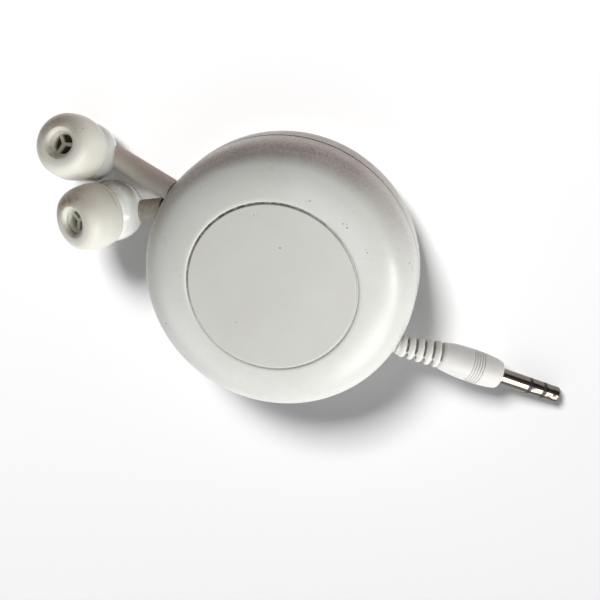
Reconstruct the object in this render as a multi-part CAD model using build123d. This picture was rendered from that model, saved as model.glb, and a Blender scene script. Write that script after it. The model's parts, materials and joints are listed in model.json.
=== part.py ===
from build123d import *
import math
import os

# Retractable wired earphones: a round case that winds the cords, two in-ear buds and a 3.5 mm plug.
# Millimetres, +Z up. The origin is the centre of the case's flat back face.
# The buds leave the case along +X, and the plug leaves it along -X.

# ---- case ----
CASE_RADIUS = 28.0
CASE_HEIGHT = 24.0
CASE_CROWN = 12.4          # half height of the case's outer curve if it ran on to the axis
CASE_EXPONENT = 4.1        # how square the case's outer curve is; 2 would be an ellipse
CASE_WALL = 1.9
SEAM_CHAMFER = 0.35
FLAT_RADIUS = 17.0         # radius of the front disc, and of the flat back face
DISC_THICKNESS = 1.2
DISC_GAP = 0.4
RECESS_FLOOR = 1.3
BACK_FLOOR = 2.0
TONGUE_HEIGHT = 1.2
TONGUE_WALL = 0.8
FIT = 0.05                 # clearance of parts that fit into each other
POST_RADIUS = 4.0
POST_TOP = 19.0
SCREW_RADIUS = 1.5
SCREW_HEAD_RADIUS = 2.8

# ---- cord exits ----
BUD_SLOT_WIDTH = 13.0
BUD_SLOT_HEIGHT = 6.4
PLUG_HOLE_WIDTH = 6.0
PLUG_HOLE_HEIGHT = 5.6
PLUG_HOLE_Y = 2.85
PLUG_HOLE_Z = 11.65
GUIDE_INNER_RADIUS = 22.4
GUIDE_FACE_X = 25.2        # the guide's face behind the exit
GUIDE_BORE_GAP = 0.4       # radial play of a cord in its guide

# ---- reel ----
FLANGE_RADIUS = 21.6
HUB_RADIUS = 10.0
BARREL_RADIUS = 13.6
BARREL_BORE = 12.6
REEL_FIT = 0.08            # running clearance on the post
COVER_BOTTOM = 2.6
COVER_TOP = 3.4
BARREL_TOP = 7.6
LOWER_FLANGE_TOP = 8.6
DIVIDER_BOTTOM = 11.5
DIVIDER_TOP = 12.1
UPPER_FLANGE_BOTTOM = 16.0
UPPER_FLANGE_TOP = 17.6
TRACK_INNER = 13.6
TRACK_OUTER = 18.4
TRACK_DEPTH = 1.0
BALL_RADIUS = 1.3
BALL_PATH_RADIUS = 15.0
BALL_TRAVEL = 2.0

# ---- cords ----
PLUG_CORD = 1.5            # diameters
BUD_CORD = 1.3
TURNS = 5.5
SPRING_TURNS = 9
SPRING_PITCH = 0.8
SPRING_THICKNESS = 0.2

# ---- plug ----
PLUG_TIP_END = (-64.6, -0.93, 1.95)
PLUG_HEADING = 183.8       # degrees about Z, from +X
PLUG_DROP = 15.6           # degrees below the horizontal
RELIEF_HEADING = 192.0
RELIEF_DROP = 12.0
METAL_LENGTH = 14.0
METAL_RADIUS = 1.75
GRIP_LENGTH = 14.3
GRIP_REAR_RADIUS = 3.0
GRIP_FRONT_RADIUS = 3.5
RELIEF_LENGTH = 9.7
RELIEF_REAR_RADIUS = 2.3
RELIEF_RIDGES = 5
SLEEVE_END = 6.3           # distances along the metal, from the grip's front face
RING_START = 7.0
RING_END = 9.7
TIP_START = 10.4
WAIST = 11.9               # the middle of the faint waist round the tip contact
WAIST_RADIUS = 1.67
COLLAR_RADIUS = 1.95       # of the sleeve where it leaves the grip
COLLAR_LENGTH = 0.6
ROOT_RADIUS = 2.3          # of the sleeve inside the grip

# ---- buds ----
DOME_RADIUS = 6.5
DOME_DEPTH = 11.2          # from the ear tip's mouth back to the dome's centre
SHELL_WALL = 1.0
HOUSING_SEAM = 9.4         # depth of the joint between the front and rear housings
STEM_RADIUS = 2.35
NECK_RADIUS = 1.7
NECK_LENGTH = 1.6
STEM_END = 28.0            # where the stem's outer end meets the case
TIP_RADIUS = 6.8
TIP_LENGTH = 8.3
TIP_LIP_RADIUS = 2.6       # of the ear tip's mouth, in front of the nozzle
TIP_LIP_DEPTH = 0.98
TIP_BORE = 3.0
NOZZLE_RIM = 2.92
NOZZLE_RIM_DEPTH = 1.05
GRILLE_DEPTH = 1.7
GRILLE_THICKNESS = 0.9
GRILLE_RADIUS = 2.0
SPOKE_WIDTH = 0.75

# Each bud: the dome's centre, the way that its mouth points (degrees about Z, degrees up),
# a point on its stem's axis beside the dome, the stem's point at the case, its grille's turn,
# the height of its cord on the reel, and where that cord bends towards the exit: how far
# inside the stem's end, and how high.
BUDS = {
    "left": {
        "dome": (48.33, 0.32, 7.0),
        "heading": -42.8,
        "rise": 65.9,
        "stem_root": (48.69, -0.98, 3.3),
        "stem_exit": (28.62, -3.11, 11.3),
        "grille_turn": 23.0,
        "cord_z": 12.85,
        "bend": (5.0, 12.85),
    },
    "right": {
        "dome": (37.50, 7.57, 10.45),
        "heading": 27.8,
        "rise": 62.0,
        "stem_root": (37.73, 9.35, 7.95),
        "stem_exit": (29.02, 2.23, 11.2),
        "grille_turn": 10.0,
        "cord_z": 14.5,
        "bend": (2.0, 14.2),
    },
}
PLUG_CORD_Z = 10.6
PLUG_BEND = (4.6, 10.6)
MID = CASE_HEIGHT / 2
GAP = 0.35                 # left at each end of the lead between a winding and its bud or plug

os.makedirs("parts", exist_ok=True)


# ---------------------------------------------------------------- helpers

def save(shape, name):
    shape.label = name
    export_step(shape, f"parts/{name}.step")


def ring(outer, inner, bottom, top):
    """A flat washer about the Z axis."""
    blank = Pos(0, 0, bottom) * Cylinder(outer, top - bottom, align=(Align.CENTER, Align.CENTER, Align.MIN))
    if inner > 0:
        hole = Pos(0, 0, bottom - 1) * Cylinder(
            inner, top - bottom + 2, align=(Align.CENTER, Align.CENTER, Align.MIN)
        )
        blank = blank - hole
    return blank


def turned(*points):
    """A solid of revolution about Z from (radius, height) corners."""
    outline = Polyline(*[(r, 0, z) for r, z in points], close=True)
    return revolve(make_face(outline), Axis.Z, 360)


def case_curve(radius, crown, height_limit, inset):
    """Points of the case's outer or inner half section, from the equator up to height_limit."""
    last = (1 - (height_limit / crown) ** CASE_EXPONENT) ** (1 / CASE_EXPONENT)
    steps = 9
    first_angle = math.asin((inset / crown) ** (CASE_EXPONENT / 2))
    last_angle = math.acos(last ** (CASE_EXPONENT / 2))
    points = []
    for k in range(steps):
        angle = first_angle + (last_angle - first_angle) * k / (steps - 1)
        r = radius * math.cos(angle) ** (2 / CASE_EXPONENT)
        z = crown * math.sin(angle) ** (2 / CASE_EXPONENT)
        points.append((r, z))
    return points


def bowl(flat_height, floor_height):
    """Half of the case, opening down, its seam on z = 0 and its flat face at flat_height."""
    outer = case_curve(CASE_RADIUS, CASE_CROWN, flat_height, SEAM_CHAMFER)
    inner_crown = CASE_CROWN - CASE_WALL
    inner = case_curve(CASE_RADIUS - CASE_WALL, inner_crown, floor_height, 0.2)
    outer_curve = Spline(*[(r, 0, z) for r, z in outer])
    inner_curve = Spline(*[(r, 0, z) for r, z in inner])
    edges = [
        Line((CASE_RADIUS - CASE_WALL, 0, 0), (CASE_RADIUS - SEAM_CHAMFER, 0, 0)),
        Line((CASE_RADIUS - SEAM_CHAMFER, 0, 0), outer_curve @ 0),
        outer_curve,
        Line(outer_curve @ 1, (0, 0, flat_height)),
        Line((0, 0, flat_height), (0, 0, floor_height)),
        Line((0, 0, floor_height), inner_curve @ 1),
        inner_curve,
        Line(inner_curve @ 0, (CASE_RADIUS - CASE_WALL, 0, 0)),
    ]
    return revolve(make_face(edges), Axis.Z, 360)


def direction(heading, rise):
    a = math.radians(heading)
    b = math.radians(rise)
    return Vector(math.cos(b) * math.cos(a), math.cos(b) * math.sin(a), math.sin(b))


def rod(start, end, radius):
    """A plain cylinder between two points."""
    start = Vector(*start)
    end = Vector(*end)
    way = end - start
    place = Plane(origin=start, z_dir=way.normalized()).location
    return place * Cylinder(radius, way.length, align=(Align.CENTER, Align.CENTER, Align.MIN))


def spiral_band(first_radius, pitch, turns, width, height):
    """A flat spiral ribbon made of half circles, starting on the +X side and going counter-clockwise."""
    halves = int(round(turns * 2))
    rails = []
    for offset in (-width / 2, width / 2):
        arcs = []
        for k in range(halves):
            side = 1 if k % 2 == 0 else -1
            centre = 0 if side == 1 else pitch / 2
            radius = first_radius + pitch * k / 2 + offset
            begin = (centre + side * radius, 0)
            top = (centre, side * radius)
            end = (centre - side * radius, 0)
            arcs.append(ThreePointArc(begin, top, end))
        rails.append(arcs)
    inner, outer = rails
    caps = [Line(inner[0] @ 0, outer[0] @ 0), Line(inner[-1] @ 1, outer[-1] @ 1)]
    face = make_face(inner + outer + caps)
    return extrude(face, height)


def round_cord_spiral(first_radius, pitch, turns, diameter):
    """A round cord wound in a flat spiral of half circles, centred on z = 0."""
    halves = int(round(turns * 2))
    winding = None
    for k in range(halves):
        side = 1 if k % 2 == 0 else -1
        centre = 0 if side == 1 else pitch / 2
        radius = first_radius + pitch * k / 2
        section = Plane.XZ * Pos(centre + side * radius, 0) * Circle(diameter / 2)
        half = revolve(section, Axis((centre, 0, 0), (0, 0, 1)), 180)
        winding = half if winding is None else winding + half
    return winding


def tangent_point(exit_x, exit_y, radius):
    """Where a cord that runs straight to (exit_x, exit_y) leaves a winding that turns counter-clockwise."""
    reach = math.hypot(exit_x, exit_y)
    angle = math.atan2(exit_y, exit_x) - math.acos(radius / reach)
    return radius * math.cos(angle), radius * math.sin(angle), math.degrees(angle)


# ---------------------------------------------------------------- case

def slot_cutter(length, width, height, x_sign):
    """A round-ended slot through the case wall, along X."""
    block = extrude(Plane.YZ * SlotOverall(width, height), length)
    shift = 22.0 if x_sign > 0 else -22.0 - length
    return Pos(shift, 0, MID) * block


def exit_cutters():
    buds = slot_cutter(8, BUD_SLOT_WIDTH, BUD_SLOT_HEIGHT, 1)
    plug = Pos(0, PLUG_HOLE_Y, PLUG_HOLE_Z - MID) * slot_cutter(8, PLUG_HOLE_WIDTH, PLUG_HOLE_HEIGHT, -1)
    return buds + plug


def make_rear_shell():
    shell = Pos(0, 0, MID) * Rot(180, 0, 0) * bowl(MID, MID - BACK_FLOOR)
    rebate = ring(CASE_RADIUS - CASE_WALL + TONGUE_WALL + 2 * FIT, CASE_RADIUS - CASE_WALL - 1,
                  MID - TONGUE_HEIGHT - FIT, MID + 1)
    shell -= rebate
    post = ring(POST_RADIUS, SCREW_RADIUS + FIT, BACK_FLOOR - 0.5, POST_TOP)
    foot = turned((POST_RADIUS - 0.5, BACK_FLOOR - 0.4), (POST_RADIUS + 0.6, BACK_FLOOR - 0.4),
                  (POST_RADIUS + 0.6, BACK_FLOOR + 0.3), (POST_RADIUS - 0.5, BACK_FLOOR + 0.9))
    shell = shell + post + foot
    hole = ring(SCREW_RADIUS + FIT, 0, 8.0, POST_TOP + 1)
    spring_slot = Pos(POST_RADIUS - 0.7, 0, 5.5) * Box(1.6, 0.6, 4.6)
    return shell - hole - spring_slot - exit_cutters()


def make_front_shell():
    roof = CASE_HEIGHT - DISC_THICKNESS - 0.1 - RECESS_FLOOR
    shell = Pos(0, 0, MID) * bowl(MID, roof - MID)
    tongue_inner = CASE_RADIUS - CASE_WALL + FIT
    tongue = ring(tongue_inner + TONGUE_WALL, tongue_inner, MID - TONGUE_HEIGHT, MID + 1.5)
    shell += tongue
    recess = ring(FLAT_RADIUS + DISC_GAP, 0, CASE_HEIGHT - DISC_THICKNESS - 0.1, CASE_HEIGHT + 1)
    shell -= recess
    boss = ring(POST_RADIUS, 0, POST_TOP + FIT, roof + 0.5)
    ball_boss = Pos(0, BALL_PATH_RADIUS + BALL_TRAVEL / 2, 0) * extrude(
        Pos(0, 0, UPPER_FLANGE_TOP + 0.25) * SlotOverall(9.4, 6.6, rotation=90),
        roof + 0.5 - UPPER_FLANGE_TOP - 0.25,
    )
    shell = shell + boss + ball_boss
    ball_slot = Pos(0, BALL_PATH_RADIUS + BALL_TRAVEL / 2, 0) * extrude(
        Pos(0, 0, UPPER_FLANGE_TOP - 1) * SlotOverall(
            2 * BALL_RADIUS + BALL_TRAVEL + 0.3, 2 * BALL_RADIUS + 0.3, rotation=90),
        2.9,
    )
    screw_hole = ring(SCREW_RADIUS + 0.15, 0, POST_TOP - 1, CASE_HEIGHT)
    head_seat = ring(SCREW_HEAD_RADIUS + 0.25, 0, 21.0, CASE_HEIGHT)
    return shell - ball_slot - screw_hole - head_seat - exit_cutters()


def make_front_disc():
    top = CASE_HEIGHT
    bottom = top - DISC_THICKNESS
    edge = 0.15
    disc = turned((0, bottom), (FLAT_RADIUS, bottom), (FLAT_RADIUS, top - edge), (FLAT_RADIUS - edge, top), (0, top))
    foot = ring(FLAT_RADIUS - 3, FLAT_RADIUS - 5, bottom - 0.1, bottom)
    return disc + foot


def make_centre_screw():
    head_bottom = 21.05
    head = ring(SCREW_HEAD_RADIUS, 0, head_bottom, head_bottom + 1.5)
    head = fillet(head.edges().filter_by(GeomType.CIRCLE).sort_by(Axis.Z)[-1], 0.5)
    shank = ring(SCREW_RADIUS, 0, 9.5, head_bottom + 0.2)
    point = Pos(0, 0, 9.0) * Cone(0.6, SCREW_RADIUS, 1.0)
    cross = Pos(0, 0, head_bottom + 1.3) * (Box(3.0, 0.6, 1.2) + Box(0.6, 3.0, 1.2))
    return head + shank + point - cross


def cavity(gap):
    """The space inside the case, smaller by a gap all round."""
    crown = CASE_CROWN - CASE_WALL - gap
    half = case_curve(CASE_RADIUS - CASE_WALL - gap, crown, MID - BACK_FLOOR - gap, 0.2)
    curve = Spline(*[(r, 0, z) for r, z in half])
    low = (CASE_RADIUS - CASE_WALL - gap, 0, 0)
    edges = [
        Line((0, 0, 0), low),
        Line(low, curve @ 0),
        curve,
        Line(curve @ 1, (0, 0, MID - BACK_FLOOR - gap)),
        Line((0, 0, MID - BACK_FLOOR - gap), (0, 0, 0)),
    ]
    upper = revolve(make_face(edges), Axis.Z, 360)
    return Pos(0, 0, MID) * (upper + Rot(180, 0, 0) * upper)


def make_guide(x_sign, width, centre_y, paths, bore):
    """An insert behind an exit, held between the two shells, with an eye for each cord."""
    block = Pos(x_sign * 24, centre_y, MID) * Box(6, width, CASE_HEIGHT)
    block &= ring(CASE_RADIUS, GUIDE_INNER_RADIUS, 0, CASE_HEIGHT)
    block &= cavity(FIT)
    window = Pos(x_sign * (GUIDE_FACE_X + 2), centre_y, MID) * Box(4, width + 1, BUD_SLOT_HEIGHT)
    block -= window
    for path in paths:
        block -= sweep(Plane(origin=path @ 0, z_dir=path % 0) * Circle(bore), path)
    return block


# ---------------------------------------------------------------- reel

def make_reel_drum():
    bore = POST_RADIUS + REEL_FIT
    lower_flange = ring(FLANGE_RADIUS, bore, BARREL_TOP, LOWER_FLANGE_TOP)
    barrel = ring(BARREL_RADIUS, BARREL_BORE, COVER_TOP, BARREL_TOP + 0.2)
    hub = ring(HUB_RADIUS, bore, LOWER_FLANGE_TOP - 0.2, UPPER_FLANGE_BOTTOM)
    drum = lower_flange + barrel + hub
    spring_notch = Pos(BARREL_BORE + 0.4, 0, 5.5) * Box(1.4, 0.6, 4.2)
    crossover_slot = Pos(0, HUB_RADIUS - 0.9, 12.4) * Box(1.8, 2.2, 7.0)
    return drum - spring_notch - crossover_slot


def make_reel_divider():
    return ring(FLANGE_RADIUS, HUB_RADIUS, DIVIDER_BOTTOM, DIVIDER_TOP)


def make_upper_flange():
    flange = ring(FLANGE_RADIUS, POST_RADIUS + REEL_FIT, UPPER_FLANGE_BOTTOM, UPPER_FLANGE_TOP)
    track = ring(TRACK_OUTER, TRACK_INNER, UPPER_FLANGE_TOP - TRACK_DEPTH, UPPER_FLANGE_TOP + 1)
    flange -= track
    for k in range(3):
        pocket = Rot(0, 0, 120 * k + 40) * Pos(TRACK_OUTER - 0.3, 0, UPPER_FLANGE_TOP) * Cylinder(1.5, 2 * TRACK_DEPTH)
        flange -= pocket
    return flange


def make_spring_cover():
    return ring(BARREL_RADIUS, POST_RADIUS + 0.9, COVER_BOTTOM, COVER_TOP)


def make_power_spring():
    height = 3.4
    ribbon = spiral_band(POST_RADIUS + 0.55, SPRING_PITCH, SPRING_TURNS, SPRING_THICKNESS, height)
    inner_tang = Pos(POST_RADIUS, 0, height / 2) * Box(1.2, SPRING_THICKNESS, height)
    outer_end = POST_RADIUS + 0.55 + SPRING_PITCH * SPRING_TURNS
    outer_tang = Pos((outer_end + BARREL_BORE + 0.5) / 2, 0, height / 2) * Box(
        BARREL_BORE + 0.5 - outer_end, SPRING_THICKNESS, height
    )
    return Pos(0, 0, COVER_TOP + 0.3) * (ribbon + inner_tang + outer_tang)


def cord_winding(diameter, exit_x, exit_y, z):
    """A cord's turns on the reel. It returns the solid and the point where its lead starts."""
    pitch = diameter + 0.05
    first = HUB_RADIUS + diameter / 2 + 0.05
    last = first + pitch * (TURNS - 0.5)
    x, y, angle = tangent_point(exit_x, exit_y, last)
    winding = round_cord_spiral(first, pitch, TURNS, diameter)
    # the last half turn ends on the -X side
    return Pos(0, 0, z) * Rot(0, 0, angle - 180) * winding, (x, y, z)


def lead_path(start, corner, end):
    """The route from the winding, through the guide, to the bud or the plug."""
    start = Vector(*start)
    start = start + (corner - start).normalized() * GAP
    end = end - (end - corner).normalized() * GAP
    run = min((corner - start).length, (end - corner).length)
    turn = math.radians((corner - start).get_angle(end - corner))
    bend = min(6.0, 0.8 * run / math.tan(turn / 2))
    return FilletPolyline(start, corner, end, radius=bend)


def cord_along(path, diameter):
    return sweep(Plane(origin=path @ 0, z_dir=path % 0) * Circle(diameter / 2), path)


def wind_cord(name, neck_end, inward, bend, diameter, z):
    """Saves a cord's winding and its lead, and returns the lead's route."""
    distance, bend_z = bend
    flat = Vector(inward.X, inward.Y, 0).normalized()
    corner = neck_end + flat * distance
    corner = Vector(corner.X, corner.Y, bend_z)
    winding, start = cord_winding(diameter, corner.X, corner.Y, z)
    path = lead_path(start, corner, neck_end)
    save(winding, f"{name}_cord_winding")
    save(cord_along(path, diameter), f"{name}_cord_lead")
    return path


# ---------------------------------------------------------------- plug

def plug_frame():
    """Places a piece drawn along +Z so that z = 0 is the grip's front face and +Z runs to the plug's tip."""
    way = direction(PLUG_HEADING, -PLUG_DROP)
    front = Vector(*PLUG_TIP_END) - way * METAL_LENGTH
    return Plane(origin=front, x_dir=(0, 0, 1), z_dir=way)


def relief_frame():
    """Places a piece drawn along +Z so that z = 0 is the strain relief's end at the grip."""
    front = plug_frame().origin
    rear = front - direction(PLUG_HEADING, -PLUG_DROP) * GRIP_LENGTH
    return Plane(origin=rear, x_dir=(0, 0, 1), z_dir=direction(RELIEF_HEADING, -RELIEF_DROP))


def relief_points():
    """The strain relief's end at the case, and the end of the level neck that runs on into the case."""
    frame = relief_frame()
    end = frame.origin - frame.z_dir * RELIEF_LENGTH
    return end, end - direction(RELIEF_HEADING, 0) * NECK_LENGTH


def make_plug_grip():
    """The moulded grip with its grooves, and the slotted strain relief that is moulded in one with it."""
    rear = -GRIP_LENGTH
    outline = [
        (0, rear),
        (GRIP_REAR_RADIUS, rear),
        (GRIP_REAR_RADIUS + 0.35, rear + 4.5),
        (GRIP_FRONT_RADIUS, -3.0),
        (GRIP_FRONT_RADIUS, -0.9),
        (GRIP_FRONT_RADIUS - 0.25, -0.25),
        (GRIP_FRONT_RADIUS - 0.9, 0),
        (0, 0),
    ]
    grip = turned(*outline)
    groove_depth = 0.14
    for k in range(5):
        z = -6.4 + 0.62 * k
        grip -= ring(GRIP_FRONT_RADIUS + 1, GRIP_FRONT_RADIUS - 0.12 - groove_depth, z, z + 0.16)
    core_hole = ring(ROOT_RADIUS + FIT, 0, -8.0, -COLLAR_LENGTH)
    collar_hole = ring(COLLAR_RADIUS + FIT, 0, -COLLAR_LENGTH - 0.1, 0.5)
    grip -= core_hole + collar_hole
    grip = plug_frame().location * grip

    relief = turned((0, -RELIEF_LENGTH), (RELIEF_REAR_RADIUS, -RELIEF_LENGTH),
                    (GRIP_REAR_RADIUS, 0), (GRIP_REAR_RADIUS * 0.96, 0.6), (0, 0.6))
    pitch = RELIEF_LENGTH / RELIEF_RIDGES
    core = 1.25
    for k in range(RELIEF_RIDGES):
        for side, start in ((1, 0.12), (-1, 0.12)):
            z = -RELIEF_LENGTH + pitch * (k + 1) - start - 0.3 - (0.0 if side == 1 else pitch / 2)
            slot = Pos(side * 2.9, 0, z) * Box(5.0, 8.0, 0.6)
            keep = ring(core, 0, z - 1, z + 1)
            relief -= slot - keep
    relief = relief_frame().location * relief
    end, neck_end = relief_points()
    neck = rod(end + (end - neck_end) * 0.3, neck_end, NECK_RADIUS)
    return grip + relief + neck


def make_plug_metal():
    """The sleeve, the ring, the tip with its centre rod, the insulators and the inner mould."""
    sleeve = ring(METAL_RADIUS, 1.3, -0.1, SLEEVE_END)
    sleeve += ring(COLLAR_RADIUS, 1.3, -COLLAR_LENGTH, 0) + ring(ROOT_RADIUS, 1.3, -5.0, -COLLAR_LENGTH)
    ring_part = ring(METAL_RADIUS, 1.3, RING_START, RING_END) + ring(1.05, 0.8, -5.5, RING_START + 0.3)
    ring_part += ring(1.4, 0.8, RING_START, RING_START + 0.3)
    tip_profile = [
        (0, TIP_START),
        (METAL_RADIUS, TIP_START),
        (METAL_RADIUS, WAIST - 0.9),
        (WAIST_RADIUS, WAIST),
        (METAL_RADIUS, WAIST + 0.9),
        (METAL_RADIUS, METAL_LENGTH - 0.6),
        (METAL_RADIUS - 0.12, METAL_LENGTH - 0.28),
        (METAL_RADIUS - 0.42, METAL_LENGTH - 0.06),
        (METAL_RADIUS - 0.7, METAL_LENGTH),
        (0, METAL_LENGTH),
    ]
    tip = turned(*tip_profile) + ring(0.6, 0, -6.5, TIP_START + 0.2)
    flush = METAL_RADIUS - 0.01
    outer_insulator = ring(flush, 1.3, SLEEVE_END, RING_START) + ring(1.28, 1.07, -4.8, SLEEVE_END)
    outer_insulator += ring(1.3, 1.07, SLEEVE_END, RING_START)
    inner_insulator = ring(flush, 0.62, RING_END, TIP_START) + ring(0.78, 0.62, -5.2, RING_END)
    inner_insulator += ring(1.28, 0.82, RING_START + 0.32, RING_END)
    mould = turned((0.65, -7.8), (ROOT_RADIUS, -7.8), (ROOT_RADIUS, -5.6), (1.1, -5.6), (1.1, -5.55), (0.65, -5.55))
    return {
        "plug_sleeve": sleeve,
        "plug_ring_contact": ring_part,
        "plug_tip_contact": tip,
        "plug_insulators": Compound([outer_insulator, inner_insulator]),
        "plug_inner_mould": mould,
    }


# ---------------------------------------------------------------- buds

def bud_frame(bud):
    """Places a piece drawn with the mouth at z = 0, opening along +Z. Depths into the bud are negative z."""
    way = direction(bud["heading"], bud["rise"])
    mouth = Vector(*bud["dome"]) + way * DOME_DEPTH
    stem_way = Vector(*bud["stem_exit"]) - Vector(*bud["stem_root"])
    across = stem_way - way * stem_way.dot(way)
    return Plane(origin=mouth, x_dir=across.normalized(), z_dir=way)


def make_ear_tip():
    """A silicone mushroom tip: a sleeve on the nozzle and a hollow skirt around it."""
    outer = Spline((3.55, 0, 0), (4.9, 0, -0.2), (6.0, 0, -1.15), (6.6, 0, -2.8), (TIP_RADIUS, 0, -5.0),
                   (6.7, 0, -6.9), (6.35, 0, -TIP_LENGTH), tangents=((1, 0, 0), (-0.35, 0, -1)))
    lip = ThreePointArc((3.55, 0, 0), (2.87, 0, -0.3), (TIP_LIP_RADIUS, 0, -0.85))
    skirt = Spline((5.75, 0, -TIP_LENGTH), (6.1, 0, -6.4), (6.0, 0, -4.4), (5.2, 0, -2.6), (4.3, 0, -2.2))
    edges = [
        lip,
        outer,
        Line((6.35, 0, -TIP_LENGTH), (5.75, 0, -TIP_LENGTH)),
        skirt,
        Line((4.3, 0, -2.2), (3.8, 0, -2.7)),
        Line((3.8, 0, -2.7), (3.7, 0, -7.0)),
        Line((3.7, 0, -7.0), (TIP_BORE, 0, -7.0)),
        Line((TIP_BORE, 0, -7.0), (TIP_BORE, 0, -TIP_LIP_DEPTH)),
        Line((TIP_BORE, 0, -TIP_LIP_DEPTH), (TIP_LIP_RADIUS, 0, -TIP_LIP_DEPTH)),
        Line((TIP_LIP_RADIUS, 0, -TIP_LIP_DEPTH), (TIP_LIP_RADIUS, 0, -0.85)),
    ]
    return revolve(make_face(edges), Axis.Z, 360)


def make_front_housing(turn):
    """The nozzle with its three-spoke grille, and the front of the bud's shell."""
    rim = -NOZZLE_RIM_DEPTH
    seam = -HOUSING_SEAM
    seam_radius = math.sqrt(DOME_RADIUS ** 2 - (DOME_DEPTH - HOUSING_SEAM) ** 2)
    shoulder_depth = 8.85
    shoulder_radius = math.sqrt(DOME_RADIUS ** 2 - (DOME_DEPTH - shoulder_depth) ** 2)
    outline = [
        (0, rim - 0.2),
        (NOZZLE_RIM - 0.3, rim - 0.2),
        (NOZZLE_RIM - 0.2, rim),
        (NOZZLE_RIM, rim - 0.25),
        (NOZZLE_RIM, rim - 0.8),
        (2.6, rim - 1.3),
        (2.6, -7.3),
        (3.6, -8.2),
        (shoulder_radius - 0.25, -shoulder_depth),
        (shoulder_radius + 0.1, -shoulder_depth - 0.25),
        (seam_radius, seam),
        (5.45, seam),
        (5.45, seam - 0.7),
        (5.0, seam - 0.7),
        (5.0, seam + 0.2),
        (3.0, -8.8),
        (2.1, -8.0),
        (0, -8.0),
    ]
    body = turned(*outline)
    funnel = turned((0, rim + 0.5), (2.85, rim + 0.5), (2.6, rim), (GRILLE_RADIUS + 0.1, -GRILLE_DEPTH), (0, -GRILLE_DEPTH))
    duct = ring(GRILLE_RADIUS, 0, -8.5, -GRILLE_DEPTH - GRILLE_THICKNESS)
    holes = ring(GRILLE_RADIUS, 0, -GRILLE_DEPTH - GRILLE_THICKNESS - 0.1, -GRILLE_DEPTH + 0.2)
    for k in range(3):
        spoke = Rot(0, 0, turn + 120 * k) * Pos(GRILLE_RADIUS / 2 + 0.5, 0, -GRILLE_DEPTH - 0.5) * Box(
            GRILLE_RADIUS + 1.0, SPOKE_WIDTH, 3.0
        )
        holes -= spoke
    return body - funnel - duct - holes


def make_rear_housing():
    """The round back of the bud. The stem's hole is cut where the bud is assembled."""
    centre = -DOME_DEPTH
    ball = Pos(0, 0, centre) * Sphere(DOME_RADIUS)
    hollow = Pos(0, 0, centre) * Sphere(DOME_RADIUS - SHELL_WALL)
    lid = ring(10, 0, -HOUSING_SEAM - 0.02, 0)
    socket = ring(5.45 + FIT, 0, -HOUSING_SEAM - 0.75, -HOUSING_SEAM)
    return ball - hollow - lid - socket


def make_driver():
    """The dynamic driver: basket, yoke cup, magnet, voice coil and diaphragm."""
    top = -HOUSING_SEAM - 0.1
    frame = ring(4.9, 4.3, top - 2.2, top - 0.5) + ring(4.9, 3.62, top - 2.2, top - 1.7)
    yoke = ring(3.6, 3.15, top - 4.1, top - 1.75) + ring(3.6, 0, top - 4.1, top - 3.6)
    magnet = ring(2.1, 0, top - 3.6, top - 1.9) + ring(2.25, 0, top - 1.9, top - 1.5)
    coil = ring(2.85, 2.5, top - 2.9, top - 0.6)
    rim = ring(4.25, 4.0, top - 0.7, top - 0.5)
    cone = turned((2.5, top - 0.44), (4.05, top - 0.62), (4.05, top - 0.5), (2.5, top - 0.32))
    dome = Pos(0, 0, top - 4.55) * (Sphere(4.9) - Sphere(4.8)) & ring(2.55, 0, top - 0.6, top + 0.4)
    return {
        "driver_frame": frame,
        "driver_yoke": yoke,
        "driver_magnet": magnet,
        "voice_coil": coil,
        "diaphragm": rim + cone + dome,
    }


def stem_points(bud):
    """The stem's root and outer end, the end of its neck, and the way it runs."""
    root = Vector(*bud["stem_root"])
    exit_point = Vector(*bud["stem_exit"])
    way = (exit_point - root).normalized()
    end = exit_point + way * ((exit_point.X - STEM_END) / abs(way.X))
    return root, end, end + way * NECK_LENGTH, way


def make_stem(bud):
    root, end, neck_end, way = stem_points(bud)
    inside = Pos(*bud["dome"]) * Sphere(DOME_RADIUS - SHELL_WALL + 0.3)
    stem = rod(root, end, STEM_RADIUS)
    stem = fillet(stem.edges().filter_by(GeomType.CIRCLE).sort_by(Axis.X)[0], 0.3)
    neck = rod(end - way * 0.5, neck_end, NECK_RADIUS)
    return stem + neck - inside


def make_bud(side, bud):
    place = bud_frame(bud).location
    root, end, neck_end, way = stem_points(bud)
    hole = rod(root, end, STEM_RADIUS + 0.02)
    save(place * make_ear_tip(), f"{side}_ear_tip")
    save(place * make_front_housing(bud["grille_turn"]), f"{side}_front_housing")
    save(place * make_rear_housing() - hole, f"{side}_rear_housing")
    mesh_top = -GRILLE_DEPTH - GRILLE_THICKNESS
    save(place * ring(GRILLE_RADIUS - 0.02, 0, mesh_top - 0.25, mesh_top), f"{side}_acoustic_mesh")
    for name, piece in make_driver().items():
        save(place * piece, f"{side}_{name}")
    stem = make_stem(bud) - rod(neck_end - way * 5.0, neck_end + way, BUD_CORD / 2)
    save(stem, f"{side}_stem")
    save(rod(neck_end - way * 5.0, neck_end, BUD_CORD / 2), f"{side}_cord_end")
    return neck_end, way


# ---------------------------------------------------------------- build everything

save(make_rear_shell(), "rear_shell")
save(make_front_shell(), "front_shell")
save(make_front_disc(), "front_disc")
save(make_centre_screw(), "centre_screw")

save(make_reel_drum(), "reel_drum")
save(make_reel_divider(), "reel_divider")
save(make_upper_flange(), "reel_upper_flange")
save(make_spring_cover(), "spring_cover")
save(make_power_spring(), "power_spring")
save(rod((0, HUB_RADIUS - 0.8, 9.1), (0, HUB_RADIUS - 0.8, 15.7), 0.7), "cord_crossover")
ball_z = UPPER_FLANGE_TOP - TRACK_DEPTH + BALL_RADIUS + 0.05
save(Pos(0, BALL_PATH_RADIUS, ball_z) * Sphere(BALL_RADIUS), "lock_ball")

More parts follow.
